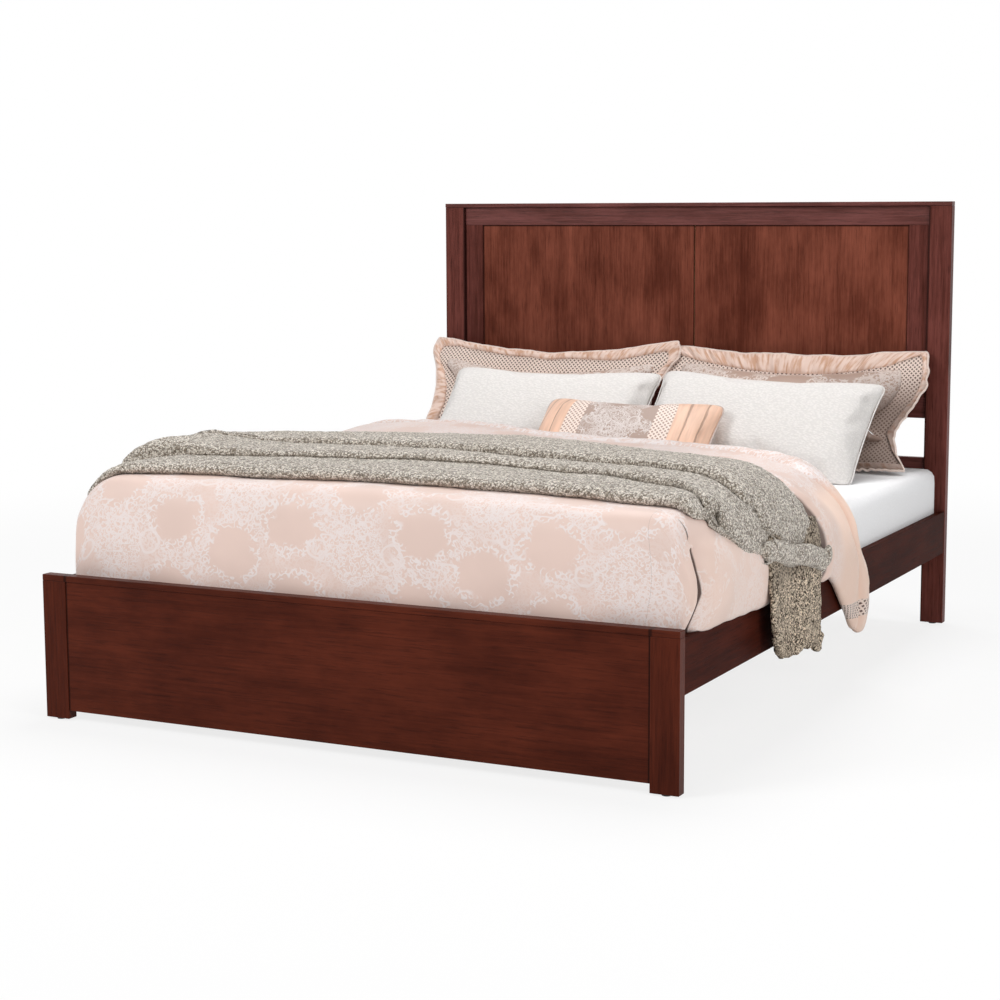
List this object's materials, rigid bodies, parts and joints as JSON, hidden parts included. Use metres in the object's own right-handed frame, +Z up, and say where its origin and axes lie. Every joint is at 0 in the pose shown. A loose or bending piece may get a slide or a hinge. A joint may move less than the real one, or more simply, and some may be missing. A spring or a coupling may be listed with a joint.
{
  "type": "panel bed with bedding",
  "caption": "Wooden panel bed with a tall framed headboard, a low solid footboard and a slatted deck, made up with a mattress, comforter, knitted throw and cushions.",
  "frame": {"origin": "on the floor under the middle of the bed, bedding included", "axes": "+X to the right seen from the foot, +Y from the foot to the headboard, +Z up"},
  "size_m": [1.804, 2.11, 1.238],
  "materials": {
    "cherry_lacquer": "satin",
    "panel_veneer": "satin",
    "deck_timber": "matte",
    "dowel_beech": "matte",
    "fitting_steel": "satin",
    "leveller_steel": "satin",
    "glide_nylon": "matte",
    "webbing": "matte",
    "mattress_ticking": "matte",
    "comforter_satin": "satin",
    "throw_knit": "matte",
    "sham_satin": "satin",
    "plain_cotton": "matte",
    "oblong_satin": "satin"
  },
  "bodies": {
    "bed": {"beam_hangers": "fitting_steel", "bracket_screws": "fitting_steel", "centre_beam": "deck_timber", "centre_legs": "deck_timber", "comforter": "comforter_satin", "footboard_dowels": "dowel_beech", "footboard_panel": "panel_veneer", "footboard_post_left": "cherry_lacquer", "footboard_post_right": "cherry_lacquer", "footboard_slat_bar": "deck_timber", "footboard_top_cap": "cherry_lacquer", "headboard_back_batten": "deck_timber", "headboard_dowels": "dowel_beech", "headboard_lower_rail": "cherry_lacquer", "headboard_panel_left": "panel_veneer", "headboard_panel_rail": "cherry_lacquer", "headboard_panel_right": "panel_veneer", "headboard_post_left": "cherry_lacquer", "headboard_post_right": "cherry_lacquer", "headboard_slat_bar": "deck_timber", "headboard_stile_left": "cherry_lacquer", "headboard_stile_right": "cherry_lacquer", "headboard_top_cap": "cherry_lacquer", "headboard_top_rail": "cherry_lacquer", "ledger_screws": "fitting_steel", "leg_bolts": "fitting_steel", "leg_inserts": "fitting_steel", "mattress": "mattress_ticking", "oblong_cushion": "oblong_satin", "plain_cushion_left": "plain_cotton", "plain_cushion_right": "plain_cotton", "post_glides": "glide_nylon", "post_slot_plates": "fitting_steel", "rail_hook_plates": "fitting_steel", "sham_left": "sham_satin", "sham_right": "sham_satin", "side_rail_left": "cherry_lacquer", "side_rail_right": "cherry_lacquer", "slat_01": "deck_timber", "slat_02": "deck_timber", "slat_03": "deck_timber", "slat_04": "deck_timber", "slat_05": "deck_timber", "slat_06": "deck_timber", "slat_07": "deck_timber", "slat_08": "deck_timber", "slat_09": "deck_timber", "slat_10": "deck_timber", "slat_11": "deck_timber", "slat_12": "deck_timber", "slat_13": "deck_timber", "slat_ledger_left": "deck_timber", "slat_ledger_right": "deck_timber", "slat_screws": "fitting_steel", "slat_straps": "webbing", "throw": "throw_knit"},
    "leveller_foot": {"leveller_foot": "leveller_steel"},
    "leveller_middle": {"leveller_middle": "leveller_steel"},
    "leveller_head": {"leveller_head": "leveller_steel"}
  },
  "joints": [
    {"name": "leveller_foot_travel", "type": "slide", "parent": "bed", "child": "leveller_foot", "axis": [0, 0, 1], "range_m": [0, 0.012]},
    {"name": "leveller_middle_travel", "type": "slide", "parent": "bed", "child": "leveller_middle", "axis": [0, 0, 1], "range_m": [0, 0.012]},
    {"name": "leveller_head_travel", "type": "slide", "parent": "bed", "child": "leveller_head", "axis": [0, 0, 1], "range_m": [0, 0.012]}
  ]
}
